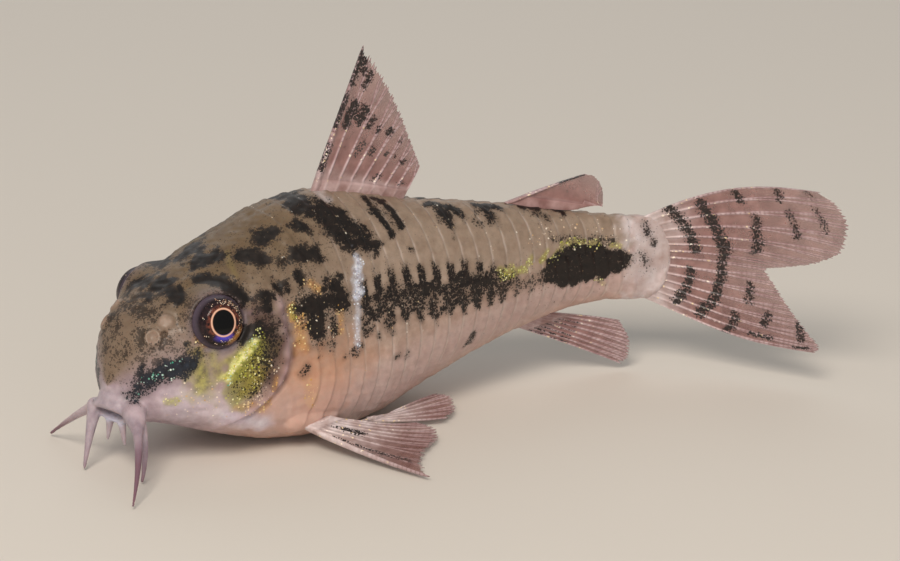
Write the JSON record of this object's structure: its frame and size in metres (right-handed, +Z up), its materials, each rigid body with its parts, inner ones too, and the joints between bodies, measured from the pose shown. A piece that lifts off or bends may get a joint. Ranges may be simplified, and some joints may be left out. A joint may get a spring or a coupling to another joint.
{
  "type": "corydoras catfish model",
  "caption": "Life-size still model of a young spotted armoured catfish resting on its belly and spread paired fins, with its tail swept to its left.",
  "frame": {"origin": "middle of the model's box on the surface that it rests on", "axes": "+X from the head to the tail, +Y to the fish's right side, +Z up"},
  "size_m": [0.041, 0.0236, 0.0197],
  "materials": {
    "skin": "wet skin over bony plates, greyish beige with dark blotches",
    "eye": "polished, dark with a pale ring round the pupil",
    "fin": "thin, translucent, pinkish, with dark dots in rows",
    "barbel": "soft, translucent pink"
  },
  "bodies": {
    "root": {"head": "skin", "torso": "skin", "tail_stem": "skin", "eye_left": "eye", "eye_right": "eye", "dorsal_fin": "fin", "adipose_fin": "fin", "anal_fin": "fin", "tail_fin": "fin", "pectoral_fin_left": "fin", "pectoral_fin_right": "fin", "pelvic_fin_left": "fin", "pelvic_fin_right": "fin", "barbel_long_left": "barbel", "barbel_long_right": "barbel", "barbel_short_left": "barbel", "barbel_short_right": "barbel", "barbel_chin_left": "barbel", "barbel_chin_right": "barbel"}
  },
  "joints": []
}
